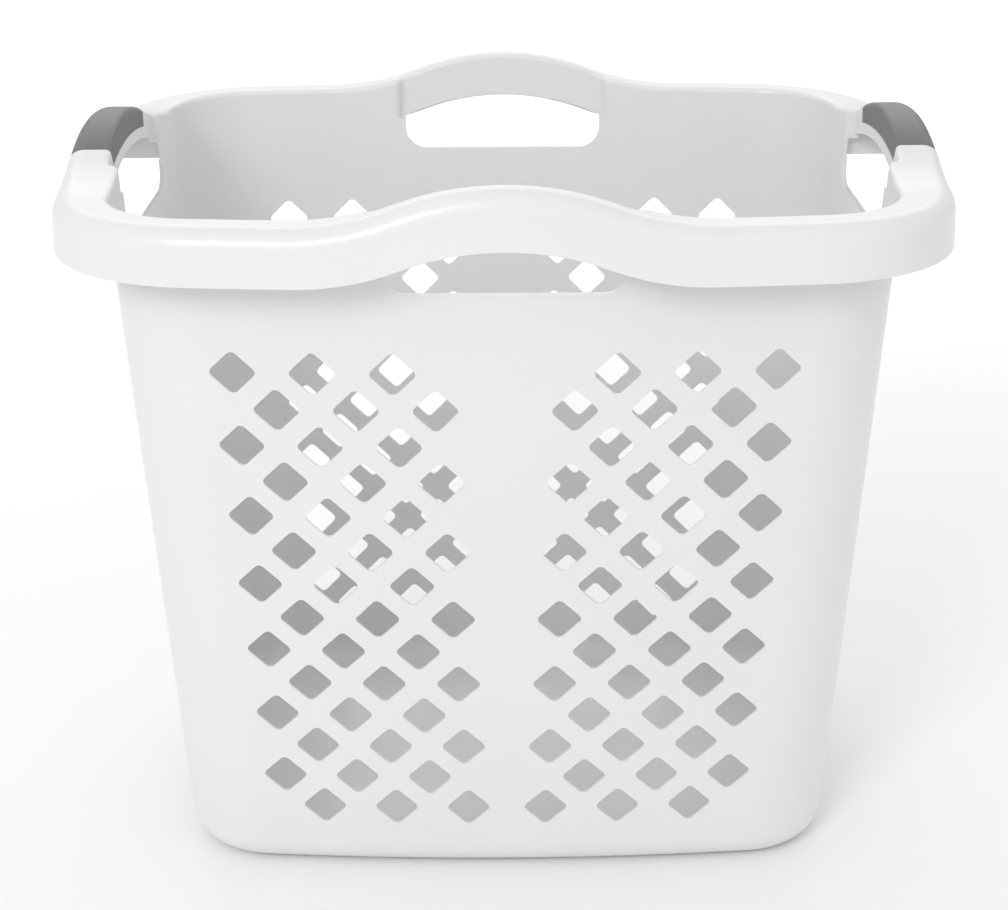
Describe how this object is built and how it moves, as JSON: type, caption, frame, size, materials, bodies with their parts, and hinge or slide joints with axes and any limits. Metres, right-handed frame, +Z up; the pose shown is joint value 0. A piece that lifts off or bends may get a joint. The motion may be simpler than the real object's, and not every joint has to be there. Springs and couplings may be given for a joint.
{
  "type": "open laundry basket",
  "caption": "Open white laundry basket with leaning walls pierced by diamond holes, a rolled rim that arches over finger slots, and soft grey clip-on grips.",
  "frame": {"origin": "middle of the underside, where the basket stands", "axes": "+X along the long side towards one grip, +Y across the short side towards the back, +Z up"},
  "size_m": [0.6538, 0.5116, 0.5741],
  "materials": {
    "basket_plastic": "satin moulded polypropylene",
    "grip_rubber": "matt moulded thermoplastic elastomer"
  },
  "bodies": {
    "root": {"basket": "basket_plastic", "grip_left": "grip_rubber", "grip_right": "grip_rubber"}
  },
  "joints": []
}
